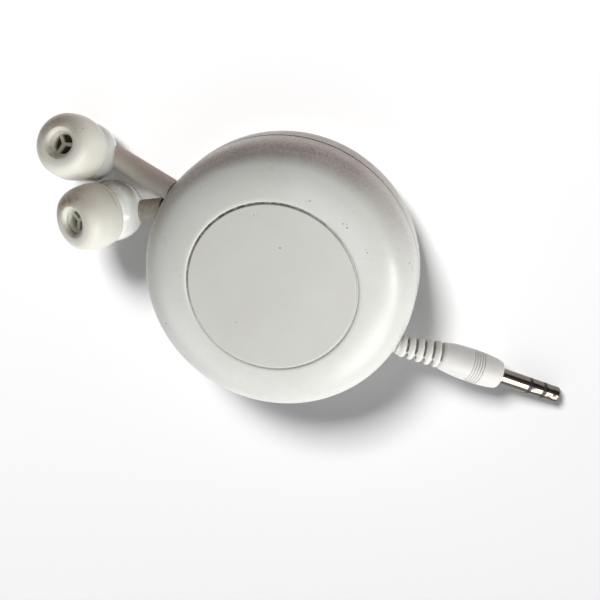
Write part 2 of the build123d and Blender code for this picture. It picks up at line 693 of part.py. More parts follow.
bud_paths = []
for side, bud in BUDS.items():
    neck_end, way = make_bud(side, bud)
    bud_paths.append(wind_cord(side, neck_end, way, bud["bend"], BUD_CORD, bud["cord_z"]))
save(make_guide(1, 16, -1.5, bud_paths, BUD_CORD / 2 + GUIDE_BORE_GAP), "bud_cord_guide")

relief_end, neck_end = relief_points()
outward = (relief_end - neck_end).normalized()
cord_core = rod(neck_end + outward * 4.0, neck_end, PLUG_CORD / 2)
save(make_plug_grip() - cord_core, "plug_grip")
save(cord_core, "plug_cord_end")
for name, piece in make_plug_metal().items():
    save(plug_frame().location * piece, name)
plug_path = wind_cord("plug", neck_end, -outward, PLUG_BEND, PLUG_CORD, PLUG_CORD_Z)
save(make_guide(-1, 11, PLUG_HOLE_Y, [plug_path], PLUG_CORD / 2 + GUIDE_BORE_GAP), "plug_cord_guide")
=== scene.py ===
import json
import math

import bmesh
import bpy
from mathutils import Matrix, Vector, noise


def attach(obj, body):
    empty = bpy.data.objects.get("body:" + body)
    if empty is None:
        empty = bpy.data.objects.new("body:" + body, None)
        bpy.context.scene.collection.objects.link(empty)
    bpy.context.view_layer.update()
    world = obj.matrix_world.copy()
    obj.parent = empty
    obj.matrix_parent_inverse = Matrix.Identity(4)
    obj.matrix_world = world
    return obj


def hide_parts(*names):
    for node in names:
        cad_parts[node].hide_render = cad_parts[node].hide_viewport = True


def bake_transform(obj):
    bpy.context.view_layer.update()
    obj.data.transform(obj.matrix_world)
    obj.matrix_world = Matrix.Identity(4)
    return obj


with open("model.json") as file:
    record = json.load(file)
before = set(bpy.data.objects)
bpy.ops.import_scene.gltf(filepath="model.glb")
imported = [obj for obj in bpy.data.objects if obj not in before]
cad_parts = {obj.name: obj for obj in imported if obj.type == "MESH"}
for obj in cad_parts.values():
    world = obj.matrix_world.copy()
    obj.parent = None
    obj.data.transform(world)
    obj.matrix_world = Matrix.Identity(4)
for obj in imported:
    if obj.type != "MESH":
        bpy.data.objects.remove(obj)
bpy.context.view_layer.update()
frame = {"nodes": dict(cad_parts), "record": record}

MM = 0.001

# ---- the object's sizes, in millimetres ----
CASE_RADIUS = 28.0
CASE_HEIGHT = 24.0
CASE_CROWN = 12.4
CASE_EXPONENT = 4.1
CASE_WALL = 1.9
MID = CASE_HEIGHT / 2
DISC_RADIUS = 17.0
DISC_GAP = 0.4
DISC_THICKNESS = 1.2
BACK_FLOOR = 2.0
ROOF = 21.4
SEAM_CHAMFER = 0.35
GROOVE_DEPTH = 0.3          # of the groove round the disc
BUD_SLOT = (13.0, 6.4, 0.0, MID)            # width, height, centre Y and Z
PLUG_HOLE = (6.0, 5.6, 2.85, 11.65)
EXIT_INNER = 22.0           # the exits are cut from here, along X
EXIT_LENGTH = 8.0

DOME_RADIUS = 6.5
DOME_DEPTH = 11.2
SEAM_DEPTH = 9.4
TIP_LENGTH = 8.25
NOZZLE_RIM = 2.92
GLOSSY_DEPTH = 7.8          # the bud's front is glossy from here back, and matt in the nozzle
RIM_DEPTH = 1.05
GRILLE_DEPTH = 1.7
GRILLE_RADIUS = 2.0
SPOKES = 3
SPOKE_WIDTH = 0.75
STEM_RADIUS = 2.35
NECK_RADIUS = 1.7
NECK_LENGTH = 1.6
STEM_END = 28.0
BUD_CORD = 1.3
PLUG_CORD = 1.5

PLUG_TIP_END = Vector((-64.6, -0.93, 1.95))
PLUG_HEADING, PLUG_DROP = 183.8, 15.6
RELIEF_HEADING, RELIEF_DROP = 192.0, 12.0
METAL_LENGTH = 14.0
METAL_RADIUS = 1.75
GRIP_LENGTH = 14.3
GRIP_RADIUS = 3.52
RINGS = 5                   # the fine grooves round the grip
RING_PITCH = 0.59
LAST_RING = -8.0            # the rearmost groove's place along the plug, from the grip's front
RELIEF_LENGTH = 9.7
RELIEF_PITCH = 1.84
RELIEF_RIDGES = 5
RELIEF_TURN = -78.0         # which way the strain relief's upper slots open, about its axis
RELIEF_RADII = (2.22, 2.86)
RELIEF_NECK = 1.3
RELIEF_MELT = 0.06          # the grid on which the relief's shapes melt together

BUDS = {
    "left": {
        "dome": Vector((48.33, 0.32, 7.0)), "heading": -42.8, "rise": 65.9,
        "root": Vector((48.69, -0.98, 3.3)), "exit": Vector((28.62, -3.11, 11.3)), "turn": 23.0,
    },
    "right": {
        "dome": Vector((37.50, 7.57, 10.45)), "heading": 27.8, "rise": 62.0,
        "root": Vector((37.73, 9.35, 7.95)), "exit": Vector((29.02, 2.23, 11.2)), "turn": 10.0,
    },
}

# ---- the sides of the object that are painted with shade, and where dirt has gathered ----
SHADED_SIDE = Vector((0.48, -0.81, -0.34))    # painted shade on the domes, the stems and the plug, on their side turned from the lamps
# painted shade on the ear tips, on the side turned from the lamps
TIP_SHADED_SIDE = Vector((0.62, -0.72, -0.32))
BOWL_SIDE = Vector((-0.10, 0.90, 0.40))
SMUDGE_SIDE = Vector((0.80, -0.55, -0.20))
# painted shade: the side of the case's rim that is turned from the lamps
RIM_SHADED_SIDE = Vector((0.62, -0.78, 0))
# painted shade in the groove round the disc, on the side turned from the lamps
GROOVE_SHADED_SIDE = Vector((0.8, -0.6, 0))
# painted shade: the side of the case's rim that is turned from the lamps
CASE_SHADED_SIDE = Vector((0.876, 0.444, 0))

# ---- specks seen from above: x, y and radius, in millimetres ----
CASE_MARKS = ((1.25, -19.49, 0.22), (1.7, -19.2, 0.12), (-6.35, -18.67, 0.2), (-7.38, -18.36, 0.25),
              (-7.0, -18.9, 0.12), (-13.05, -15.86, 0.2), (-12.5, -16.2, 0.13), (15.3, -8.07, 0.16))
DISC_MARKS = ((2.1, -8.32, 0.28), (9.5, -11.7, 0.16), (9.0, -12.2, 0.12))
TIP_MARKS = ((49.98, -6.76, 0.16), (48.62, -7.36, 0.16), (42.83, 6.94, 0.18))

# ---- noise scales of the materials, per metre ----
FLOOR_SCALE = 6
BLOTCH_SCALE = 70
SMUDGE_SCALE = 160
GLOSS_SCALE = 220
SPECK_SCALE = 700
POLISH_SCALE = 700
DIRT_AND_SHADE_SCALE = 900
WEAVE_SCALE = 900
TAN_AND_SHADE_SCALE = 1800
SCRATCH_SCALE = 2400
WINDING_SCALE = 2500
PIT_SCALE = 2600
GRAIN_SCALE = 3500

# ---- camera, in millimetres and degrees ----
CAMERA_TILT = 22.9          # between the view and the case's axis
CAMERA_ROLL = -151.2
CAMERA_DISTANCE = 224.0
CAMERA_RIGHT = 3.4767       # where the camera looks, from the case's middle, to the picture's right
CAMERA_UP = -6.4361
CAMERA_LENS = 64.944
CAMERA_SENSOR = 36.0

# ---- lamps: place, aim and size in metres, power in watts, colour, and what they light ----
WHITE = (1.0, 1.0, 1.0)
LAMPS = {
    "key": ((-0.583, -0.064, 0.51), (0.03, 0.005, 0.01), (0.26, 0.15), 1.9, (1.0, 0.985, 0.95), "object"),
    "glint": ((-0.735, -0.103, 0.308), (0.037, 0.008, 0.01), (0.20, 0.30), 3.5, (1.0, 1.0, 0.97), "bud_back"),
    "window": ((-0.52, 0.34, 0.52), (-0.03, 0, 0), (0.42, 0.36), 2.9, (1.0, 0.995, 0.97), "object"),
    "front": ((0.22, 0.62, 0.42), (0, 0, 0), (0.5, 0.3), 0.7, (0.98, 0.99, 1.0), "object"),
    "above": ((-0.05, 0.0, 0.85), (0, 0, 0), (0.4, 0.4), 1.1, WHITE, "object"),
    "table": ((0.71, -0.70, 1.12), (0, 0, 0), (0.42, 0.42), 26.0, WHITE, "table"),
}
SKY_SIDE = (-0.72, 0.62, 0.30)      # where the sky is brightest
SKY_LOW = (0.14, 0.125, 0.118, 1)
SKY_HIGH = (0.95, 0.97, 1.0, 1)
SKY_STRENGTH = 0.55


# ---------------------------------------------------------------- helpers

def direction(heading, rise):
    a = math.radians(heading)
    b = math.radians(rise)
    return Vector((math.cos(b) * math.cos(a), math.cos(b) * math.sin(a), math.sin(b)))


def placing(origin, z_way, x_way):
    """The matrix that puts a piece drawn along +Z, in millimetres, into the row frame, in metres."""
    z = z_way.normalized()
    x = (x_way - z * x_way.dot(z)).normalized()
    y = z.cross(x)
    turn = Matrix((x, y, z)).transposed().to_4x4()
    return Matrix.Translation(origin * MM) @ turn @ Matrix.Scale(MM, 4)


def add_mesh(name, vertices, faces, matrix, sharp=40):
    mesh = bpy.data.meshes.new(name)
    mesh.from_pydata([tuple(matrix @ Vector(v)) for v in vertices], [], faces)
    bm = bmesh.new()
    bm.from_mesh(mesh)
    bmesh.ops.remove_doubles(bm, verts=bm.verts, dist=1e-7)
    bmesh.ops.recalc_face_normals(bm, faces=bm.faces)
    bm.to_mesh(mesh)
    bm.free()
    mesh.shade_smooth()
    mesh.set_sharp_from_angle(angle=math.radians(sharp))
    piece = bpy.data.objects.new(name, mesh)
    bpy.context.scene.collection.objects.link(piece)
    return piece


def soften(points, radius, steps=5):
    """Rounds the corners of an outline. A point may carry its own radius as a third number."""
    result = [tuple(points[0][:2])]
    for before, here, after in zip(points, points[1:], points[2:]):
        p, q, r = Vector(before[:2]), Vector(here[:2]), Vector(after[:2])
        wanted = here[2] if len(here) > 2 else radius
        cut = min(wanted, 0.45 * (p - q).length, 0.45 * (r - q).length)
        if cut < 1e-4:
            result.append(tuple(q))
            continue
        a = q + (p - q).normalized() * cut
        b = q + (r - q).normalized() * cut
        for k in range(steps + 1):
            t = k / steps
            result.append(tuple(a * (1 - t) ** 2 + q * 2 * t * (1 - t) + b * t * t))
    result.append(tuple(points[-1][:2]))
    return result


def flowing(points, steps=6):
    """A smooth curve through an outline's points."""
    ends = [points[0]] + list(points) + [points[-1]]
    result = []
    for a, b, c, d in zip(ends, ends[1:], ends[2:], ends[3:]):
        a, b, c, d = Vector(a), Vector(b), Vector(c), Vector(d)
        for k in range(steps):
            t = k / steps
            spot = 0.5 * (2 * b + (c - a) * t + (2 * a - 5 * b + 4 * c - d) * t ** 2
                          + (3 * b - a - 3 * c + d) * t ** 3)
            result.append(tuple(spot))
    result.append(tuple(points[-1]))
    return result


def lathe(name, outline, matrix, segments=96, closed=False, sharp=40):
    """Turns an outline of (radius, height) points about Z."""
    vertices = []
    for r, z in outline:
        for k in range(segments):
            a = 2 * math.pi * k / segments
            vertices.append((r * math.cos(a), r * math.sin(a), z))
    faces = []
    rows = len(outline)
    for i in range(rows if closed else rows - 1):
        j = (i + 1) % rows
        for k in range(segments):
            m = (k + 1) % segments
            faces.append((i * segments + k, i * segments + m, j * segments + m, j * segments + k))
    return add_mesh(name, vertices, faces, matrix, sharp)


def prism(name, outline, bottom, top, matrix):
    """A closed block with the outline of (x, y) points."""
    count = len(outline)
    vertices = [(x, y, bottom) for x, y in outline] + [(x, y, top) for x, y in outline]
    faces = [tuple(range(count))[::-1], tuple(range(count, 2 * count))]
    for k in range(count):
        m = (k + 1) % count
        faces.append((k, m, count + m, count + k))
    return add_mesh(name, vertices, faces, matrix)


def stadium(width, height, steps=12):
    """A slot's outline, round at both ends."""
    r = height / 2
    points = []
    for side in (1, -1):
        for k in range(steps + 1):
            a = math.pi * (k / steps - 0.5)
            points.append((side * (width / 2 - r + r * math.cos(a)), side * r * math.sin(a)))
    return points


def apply_modifiers(piece):
    graph = bpy.context.evaluated_depsgraph_get()
    mesh = bpy.data.meshes.new_from_object(piece.evaluated_get(graph))
    piece.modifiers.clear()
    piece.data = mesh


def carve(piece, cutters):
    """Cuts the cutters out of a piece, and removes them."""
    for cutter in cutters:
        cut = piece.modifiers.new("cut", "BOOLEAN")
        cut.operation = "DIFFERENCE"
        cut.solver = "EXACT"
        cut.object = cutter
    bpy.context.view_layer.update()
    apply_modifiers(piece)
    for cutter in cutters:
        bpy.data.objects.remove(cutter)
    piece.data.shade_smooth()
    piece.data.set_sharp_from_angle(angle=math.radians(40))


def join(name, pieces):
    bm = bmesh.new()
    for piece in pieces:
        bm.from_mesh(piece.data)
        bpy.data.objects.remove(piece)
    mesh = bpy.data.meshes.new(name)
    bm.to_mesh(mesh)
    bm.free()
    whole = bpy.data.objects.new(name, mesh)
    bpy.context.scene.collection.objects.link(whole)
    return whole


def finish_piece(piece, body, material, replaced=()):
    piece.data.materials.clear()
    piece.data.materials.append(material)
    if replaced:
        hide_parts(*replaced)
    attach(piece, body)


# ---------------------------------------------------------------- materials

class Nodes:
    """A short way to write a material's node tree."""

    def __init__(self, name):
        self.material = bpy.data.materials.new(name)
        self.material.use_nodes = True
        self.tree = self.material.node_tree
        self.shader = self.tree.nodes["Principled BSDF"]
        self.place = self.tree.nodes.new("ShaderNodeTexCoord").outputs["Object"]

    def link(self, a, b):
        self.tree.links.new(a, b)

    def noise(self, scale, detail=3.0, rough=0.5):
        node = self.tree.nodes.new("ShaderNodeTexNoise")
        node.inputs["Scale"].default_value = scale
        node.inputs["Detail"].default_value = detail
        node.inputs["Roughness"].default_value = rough
        self.link(self.place, node.inputs["Vector"])
        return node.outputs["Fac"]

    def span(self, value, low, high, to_low, to_high):
        node = self.tree.nodes.new("ShaderNodeMapRange")
        self.link(value, node.inputs["Value"])
        ends = {"From Min": low, "From Max": high, "To Min": to_low, "To Max": to_high}
        for key, number in ends.items():
            node.inputs[key].default_value = number
        return node.outputs["Result"]

    def specks(self, scale, size, share):
        """Sparse round dots: 1 inside a dot. Only that share of the cells has one."""
        cells = self.tree.nodes.new("ShaderNodeTexVoronoi")
        cells.inputs["Scale"].default_value = scale
        self.link(self.place, cells.inputs["Vector"])
        near = self.span(cells.outputs["Distance"], size * 0.6, size, 1.0, 0.0)     # soft at its edge
        chosen = self.tree.nodes.new("ShaderNodeSeparateColor")
        self.link(cells.outputs["Color"], chosen.inputs["Color"])
        some = self.span(chosen.outputs["Red"], share - 0.01, share, 1.0, 0.0)
        return self.maths("MULTIPLY", near, some)

    def marks(self, points):
        """Single specks, at these places seen from above: x, y and radius in millimetres."""
        flat = self.tree.nodes.new("ShaderNodeVectorMath")
        flat.operation = "MULTIPLY"
        flat.inputs[1].default_value = (1, 1, 0)
        self.link(self.place, flat.inputs[0])
        total = 0.0
        for x, y, radius in points:
            away = self.tree.nodes.new("ShaderNodeVectorMath")
            away.operation = "DISTANCE"
            away.inputs[1].default_value = (x * MM, y * MM, 0)
            self.link(flat.outputs["Vector"], away.inputs[0])
            near = self.span(away.outputs["Value"], radius * MM * 0.4, radius * MM, 1.0, 0.0)
            total = self.maths("MAXIMUM", near, total)
        return total

    def maths(self, operation, a, b):
        node = self.tree.nodes.new("ShaderNodeMath")
        node.operation = operation
        for socket, value in zip(node.inputs, (a, b)):
            if isinstance(value, (int, float)):
                socket.default_value = value
            else:
                self.link(value, socket)
        return node.outputs["Value"]

    def mix(self, factor, a, b):
        node = self.tree.nodes.new("ShaderNodeMix")
        node.data_type = "RGBA"
        for key, value in (("Factor", factor), ("A", a), ("B", b)):
            socket = node.inputs[key]
            if isinstance(value, (int, float)):
                socket.default_value = value
            elif isinstance(value, tuple):
                socket.default_value = (*value, 1.0)
            else:
                self.link(value, socket)
        return node.outputs["Result"]

    def attribute(self, name):
        node = self.tree.nodes.new("ShaderNodeAttribute")
        node.attribute_name = name
        return node.outputs["Fac"]

    def bump(self, height, strength, distance):
        node = self.tree.nodes.new("ShaderNodeBump")
        node.inputs["Strength"].default_value = strength
        node.inputs["Distance"].default_value = distance
        self.link(height, node.inputs["Height"])
        self.link(node.outputs["Normal"], self.shader.inputs["Normal"])

    def set(self, **values):
        for key, value in values.items():
            self.shader.inputs[key.replace("_", " ")].default_value = value


def moulded(name, light, dark, rough, grain=0.25, dirt_and_shade=(0.20, 0.15, 0.10), dirt_and_shade_share=0.0,
            tan_and_shade=(0.235, 0.155, 0.13), tan_and_shade_share=0.0, speck_share=0.0, marks=(), **extra):
    """Moulded plastic or rubber: faint blotches, a fine grain, the piece's own stains, and painted shade."""
    m = Nodes(name)
    blotch = m.span(m.noise(BLOTCH_SCALE, 4.0), 0.35, 0.65, 0.0, 1.0)
    fine = m.noise(GRAIN_SCALE, 2.0)
    colour = m.mix(blotch, dark, light)
    colour = m.mix(m.span(fine, 0.3, 0.7, 0.0, grain), colour, tuple(c * 0.82 for c in dark))
    # the tan colour is painted shade, browner on the sides turned from the lamps; on the ear tips it is also
    # real browning
    if tan_and_shade_share:
        uneven = m.span(m.noise(TAN_AND_SHADE_SCALE, 3.0, 0.7), 0.35, 0.65, 0.68, 1.0)
        mask = m.maths("MULTIPLY", m.attribute("tan_and_shade"), uneven)
        colour = m.mix(m.maths("MULTIPLY", mask, tan_and_shade_share), colour, tan_and_shade)
    # the dirt colour is real dirt, and also painted shade in the case's groove, on the rim's far side, in the
    # tip's skirt line and in the relief's slots
    if dirt_and_shade_share:
        uneven = m.span(m.noise(DIRT_AND_SHADE_SCALE, 4.0, 0.65), 0.3, 0.6, 0.35, 1.0)
        mask = m.maths("MULTIPLY", m.attribute("dirt_and_shade"), uneven)
        colour = m.mix(m.maths("MULTIPLY", mask, dirt_and_shade_share), colour, dirt_and_shade)
    if speck_share:
        colour = m.mix(m.specks(SPECK_SCALE, 0.16, speck_share), colour, (0.14, 0.12, 0.10))
    if marks:
        colour = m.mix(m.maths("MULTIPLY", m.marks(marks), 0.7), colour, (0.12, 0.11, 0.09))
    m.link(colour, m.shader.inputs["Base Color"])
    gloss = m.span(m.noise(GLOSS_SCALE, 5.0), 0.3, 0.7, rough - 0.05, rough + 0.07)
    m.link(gloss, m.shader.inputs["Roughness"])
    m.bump(m.noise(PIT_SCALE, 3.0), 0.12, 0.00004)
    m.set(**extra)
    return m.material


def metal(name, colour, rough, streaks=0.15):
    """Plated or turned metal, with fine marks and a few finger smudges."""
    m = Nodes(name)
    smudge = m.span(m.noise(SMUDGE_SCALE, 4.0), 0.4, 0.65, 0.0, 1.0)
    m.link(m.mix(m.maths("MULTIPLY", smudge, 0.35), colour, tuple(c * 0.6 for c in colour)),
           m.shader.inputs["Base Color"])
    polish = m.span(m.noise(POLISH_SCALE, 5.0), 0.3, 0.7, rough, rough + streaks)
    m.link(polish, m.shader.inputs["Roughness"])
    m.bump(m.noise(SCRATCH_SCALE, 4.0), 0.06, 0.00003)
    m.set(Metallic=1.0)
    return m.material


def woven_mesh(name):
    """A fine wire screen."""
    m = Nodes(name)
    wires = []
    for axis in ("X", "Y"):
        wave = m.tree.nodes.new("ShaderNodeTexWave")
        wave.bands_direction = axis
        wave.inputs["Scale"].default_value = WEAVE_SCALE
        m.link(m.place, wave.inputs["Vector"])
        wires.append(wave.outputs["Fac"])
    weave = m.maths("MAXIMUM", *wires)
    m.link(m.mix(weave, (0.012, 0.010, 0.006), (0.075, 0.062, 0.040)), m.shader.inputs["Base Color"])
    m.bump(weave, 0.5, 0.00005)
    m.set(Metallic=0.3, Roughness=0.55)
    return m.material


def wound_wire(name, colour):
    """Fine copper wire laid in turns along Z."""
    m = Nodes(name)
    wave = m.tree.nodes.new("ShaderNodeTexWave")
    wave.bands_direction = "Z"
    wave.inputs["Scale"].default_value = WINDING_SCALE
    m.link(m.place, wave.inputs["Vector"])
    turns = m.mix(wave.outputs["Fac"], tuple(c * 0.4 for c in colour), colour)
    m.link(turns, m.shader.inputs["Base Color"])
    m.bump(wave.outputs["Fac"], 0.4, 0.00004)
    m.set(Metallic=0.9, Roughness=0.35)
    return m.material


def case_materials():
    dirt_and_shade = (0.075, 0.07, 0.035)
    return {
        "case_plastic": moulded("case_plastic", (0.76, 0.775, 0.74), (0.71, 0.72, 0.68), 0.30,
                                dirt_and_shade=dirt_and_shade, dirt_and_shade_share=0.95, tan_and_shade=(0.21, 0.12, 0.09), tan_and_shade_share=0.95,
                                speck_share=0.012, marks=CASE_MARKS, Coat_Weight=0.2, Coat_Roughness=0.34),
        "disc_plastic": moulded("disc_plastic", (0.70, 0.70, 0.665), (0.66, 0.66, 0.62), 0.36,
                                dirt_and_shade=dirt_and_shade, dirt_and_shade_share=0.95, speck_share=0.006, marks=DISC_MARKS),
        "reel_plastic": moulded("reel_plastic", (0.52, 0.52, 0.50), (0.46, 0.46, 0.44), 0.5),
        "cord_sheath": moulded("cord_sheath", (0.62, 0.61, 0.57), (0.55, 0.54, 0.50), 0.55),
        "spring_steel": metal("spring_steel", (0.30, 0.32, 0.36), 0.25),
        "screw_steel": metal("screw_steel", (0.55, 0.55, 0.55), 0.22),
    }


def bud_materials():
    return {
        "stem_rubber": moulded("stem_rubber", (0.72, 0.70, 0.63), (0.60, 0.57, 0.50), 0.62, grain=0.6,
                               dirt_and_shade_share=0.6, tan_and_shade=(0.56, 0.385, 0.335), tan_and_shade_share=0.9, speck_share=0.05),
        "bud_plastic": moulded("bud_plastic", (0.70, 0.715, 0.69), (0.655, 0.67, 0.645), 0.16, grain=0.1,
                               dirt_and_shade_share=0.8, tan_and_shade_share=0.8, Coat_Weight=1.0, Coat_Roughness=0.03),
        "funnel_plastic": moulded("funnel_plastic", (0.70, 0.71, 0.60), (0.62, 0.62, 0.51), 0.35,
                                  grain=0.15, dirt_and_shade=(0.25, 0.19, 0.10), dirt_and_shade_share=0.75),
        "silicone": moulded("silicone", (0.83, 0.825, 0.75), (0.775, 0.765, 0.69), 0.38, grain=0.15,
                            dirt_and_shade=(0.23, 0.155, 0.07), dirt_and_shade_share=0.85, tan_and_shade=(0.34, 0.235, 0.14), tan_and_shade_share=0.8,
                            speck_share=0.006, marks=TIP_MARKS, Subsurface_Weight=0.25,
                            Subsurface_Radius=(1.0, 0.75, 0.5), Subsurface_Scale=0.0012),
        "driver_plastic": moulded("driver_plastic", (0.035, 0.035, 0.035), (0.02, 0.02, 0.02), 0.45),
        "diaphragm_film": moulded("diaphragm_film", (0.66, 0.63, 0.52), (0.6, 0.56, 0.45), 0.3),
        "yoke_steel": metal("yoke_steel", (0.5, 0.5, 0.52), 0.3),
        "magnet_nickel": metal("magnet_nickel", (0.62, 0.6, 0.57), 0.15),
        "mesh_steel": woven_mesh("mesh_steel"),
        "coil_copper": wound_wire("coil_copper", (0.65, 0.30, 0.12)),
    }


def plug_materials():
    return {
        "plug_plastic": moulded("plug_plastic", (0.82, 0.815, 0.79), (0.75, 0.74, 0.71), 0.40, grain=0.2,
                                dirt_and_shade=(0.16, 0.13, 0.09), dirt_and_shade_share=0.75, tan_and_shade_share=0.5),
        "insulator_plastic": moulded("insulator_plastic", (0.02, 0.02, 0.018), (0.012, 0.012, 0.01), 0.4),
        "contact_metal": metal("contact_metal", (0.21, 0.185, 0.165), 0.10, streaks=0.08),
    }


def paint_frame(materials):
    """Every CAD node takes the finish of its material slot in the record."""
    slots = {part["node"]: part["material_slot"] for part in frame["record"]["subparts"]}
    for name, node in frame["nodes"].items():
        node.data.materials.clear()
        node.data.materials.append(materials[slots[name]])


def stain(piece, amount, name="dirt_and_shade"):
    """Stores how dirty, how browned or how deep in painted shade each point is, from 0 to 1, for the material
    to use.
    """
    layer = piece.data.attributes.get(name) or piece.data.attributes.new(name, "FLOAT", "POINT")
    layer.data.foreach_set("value", [max(0.0, min(1.0, amount(v.co / MM))) for v in piece.data.vertices])


def blotchy(point, scale):
    return 0.5 + 0.5 * noise.noise(point * scale)


# ---------------------------------------------------------------- case

def case_curve(radius, crown, low, high, steps=40):
    """The case's half section from one height to another above the seam."""
    first = math.asin((low / crown) ** (CASE_EXPONENT / 2))
    last = math.asin((high / crown) ** (CASE_EXPONENT / 2))
    points = []
    for k in range(steps + 1):
        angle = first + (last - first) * k / steps
        points.append((radius * math.cos(angle) ** (2 / CASE_EXPONENT),
                       crown * math.sin(angle) ** (2 / CASE_EXPONENT)))
    return points


def case_height(radius):
    """How high above the seam the case's outside is, this far from its axis."""
    across = (radius / CASE_RADIUS) ** (CASE_EXPONENT / 2)
    return CASE_CROWN * math.sqrt(1 - across ** 2) ** (2 / CASE_EXPONENT)


def exit_cutters():
    """The two exits through the case's wall, which the two shells share."""
    cutters = []
    for name, (width, height, y, z), side in (("bud_slot", BUD_SLOT, 1), ("plug_hole", PLUG_HOLE, -1)):
        start = Vector((side * EXIT_INNER, y, z))
        matrix = placing(start, Vector((side, 0, 0)), Vector((0, 1, 0)))
        cutters.append(prism(name, stadium(width, height), 0, EXIT_LENGTH, matrix))
    return cutters


def shell_outline(flat, inner_flat, recess):
    """A half case's closed section, its seam at height 0 and its flat face up."""
    edge = DISC_RADIUS + DISC_GAP
    top = case_height(edge + 0.3) if recess else flat
    outer = case_curve(CASE_RADIUS, CASE_CROWN, SEAM_CHAMFER, top)
    inner = case_curve(CASE_RADIUS - CASE_WALL, CASE_CROWN - CASE_WALL, 0.15, inner_flat)
    lip = [(CASE_RADIUS - SEAM_CHAMFER - 0.15, 0.0), (CASE_RADIUS - SEAM_CHAMFER, 0.03),
           (CASE_RADIUS - 0.08, SEAM_CHAMFER - 0.08)]
    points = [(CASE_RADIUS - CASE_WALL, 0.0)] + lip + outer
    if recess:
        floor = flat - DISC_THICKNESS - 0.1
        ledge = top - GROOVE_DEPTH
        inset = DISC_RADIUS + 0.03
        points += [(edge + 0.18, top - 0.04), (edge + 0.05, top - 0.15), (edge, top - 0.28), (edge, ledge),
                   (inset, ledge), (inset, floor), (1.6, floor), (1.6, inner_flat)]
    else:
        points += [(0.0, flat), (0.0, inner_flat)]
    return points + inner[::-1]


def rim_painted_shade(p):
    """Painted shade: the case's rim is browner and darker on the side turned from the lamps."""
    out = math.hypot(p.x, p.y) / CASE_RADIUS
    side = p.dot(RIM_SHADED_SIDE) / CASE_RADIUS
    return max(0.0, side + 0.25) ** 1.3 * max(0.0, out - 0.87) * 9.5 * (0.7 + 0.3 * blotchy(p, 0.15))


def groove_dirt_and_shade(p):
    """Dirt and painted shade in the groove round the disc, darker on the side turned from the lamps."""
    return max(0.0, min(1.0, 0.4 + 0.65 * p.dot(GROOVE_SHADED_SIDE) / DISC_RADIUS))


def shell_dirt_and_shade(p):
    """Dirt and painted shade in the groove, dirt along the seam, and painted shade on the rim's side turned
    from the lamps.
    """
    out = math.hypot(p.x, p.y)
    in_groove = DISC_RADIUS - 2 < out < DISC_RADIUS + DISC_GAP + 0.02 and p.z > ROOF + 1
    if in_groove and p.z < CASE_HEIGHT - 0.25:
        return groove_dirt_and_shade(p)
    seam = 0.22 * math.exp(-((p.z - MID) / 0.28) ** 2) * (out > CASE_RADIUS - 1)
    # painted shade: the rim is darker on the side turned from the lamps
    side_shade = max(0.0, p.dot(CASE_SHADED_SIDE) / CASE_RADIUS - 0.3) * max(0.0, out / CASE_RADIUS - 0.9) * 7
    return seam + min(0.22, side_shade)


def make_shells(materials):
    up = Matrix.Translation((0, 0, MID * MM)) @ Matrix.Scale(MM, 4)
    down = Matrix.Translation((0, 0, MID * MM)) @ Matrix.Rotation(math.pi, 4, "X") @ Matrix.Scale(MM, 4)
    front_outline = shell_outline(MID, ROOF - MID, True)
    rear_outline = shell_outline(MID, MID - BACK_FLOOR, False)
    front = lathe("front_shell_skin", front_outline, up, 192, closed=True, sharp=50)
    rear = lathe("rear_shell_skin", rear_outline, down, 192, closed=True, sharp=50)
    for shell in (front, rear):
        carve(shell, exit_cutters())
    for shell, node in ((front, "front_shell"), (rear, "rear_shell")):
        stain(shell, shell_dirt_and_shade)
        stain(shell, rim_painted_shade, "tan_and_shade")
        finish_piece(shell, "case", materials["case_plastic"], [node])


def make_disc(materials):
    top, bottom = CASE_HEIGHT, CASE_HEIGHT - DISC_THICKNESS
    outline = soften([(0.0, bottom), (DISC_RADIUS, bottom), (DISC_RADIUS, top, 0.22), (0.0, top)], 0.1)
    disc = lathe("front_disc_skin", outline, Matrix.Scale(MM, 4), 192, sharp=60)
    # dirt and painted shade on the disc's edge in the groove
    stain(disc, lambda p: groove_dirt_and_shade(p) if p.z < top - 0.24 else 0.0)
    finish_piece(disc, "case", materials["disc_plastic"], ["front_disc"])


# ---------------------------------------------------------------- buds

def bud_placing(bud):
    """Drawn with the ear tip's mouth at z = 0, opening along +Z."""
    way = direction(bud["heading"], bud["rise"])
    mouth = bud["dome"] + way * DOME_DEPTH
    return placing(mouth, way, bud["exit"] - bud["root"]), way, mouth


def tip_outline():
    """The silicone tip: round the mouth's lip, over the crown, back inside the skirt and up the sleeve."""
    lip = flowing([(3.0, -1.02), (2.66, -0.99), (2.56, -0.9), (2.6, -0.72), (2.78, -0.42), (3.15, -0.14),
                   (3.6, -0.02), (4.1, -0.02)], 5)
    crown = flowing([(4.1, -0.02), (4.9, -0.22), (5.5, -0.62), (6.0, -1.2), (6.38, -2.05), (6.62, -3.1),
                     (6.8, -5.0), (6.78, -6.0), (6.72, -6.85)], 6)
    line = [(6.70, -6.92), (6.61, -6.96), (6.58, -7.02), (6.66, -7.08)]
    rim = flowing([(6.66, -7.08), (6.6, -7.5), (6.52, -7.9), (6.42, -8.15), (6.28, -TIP_LENGTH),
                   (6.12, -8.15), (6.0, -7.8)], 4)
    inside = flowing([(6.0, -7.8), (6.1, -6.4), (6.02, -4.4), (5.4, -2.75), (4.55, -2.3), (3.95, -2.6),
                      (3.75, -3.5), (3.7, -6.6), (3.55, -6.95), (3.3, -7.0), (3.05, -6.85), (3.0, -6.5)], 4)
    return lip[:-1] + crown[:-1] + line[:-1] + rim[:-1] + inside


